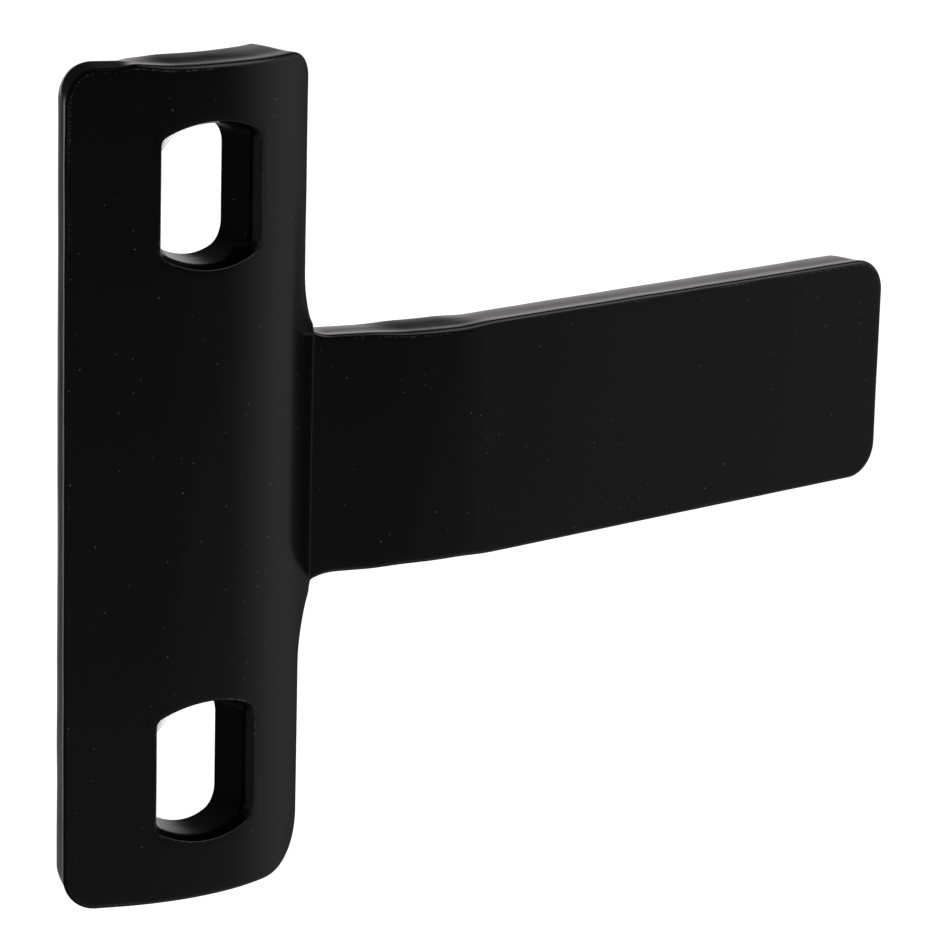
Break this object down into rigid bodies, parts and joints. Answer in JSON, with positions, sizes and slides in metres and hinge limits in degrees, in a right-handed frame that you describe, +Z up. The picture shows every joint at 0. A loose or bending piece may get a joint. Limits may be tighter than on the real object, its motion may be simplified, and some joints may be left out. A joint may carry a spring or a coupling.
{
  "type": "t hinge leaf",
  "caption": "Bent T-shaped hinge leaf of thick black-coated plate: a slotted plate curved round a post, with a cranked strap leaving its middle.",
  "frame": {"origin": "middle of the flat strip's back face along the plate's free edge, at half the plate's height", "axes": "+Z up along the plate's height; +Y out of the plate's back, towards the post; +X along the flat strip, from the free edge towards the strap"},
  "size_m": [0.1206, 0.056, 0.1016],
  "materials": {
    "black_coating": "semi-gloss black coating on bent steel plate"
  },
  "bodies": {
    "root": {"t_leaf": "black_coating"}
  },
  "joints": []
}
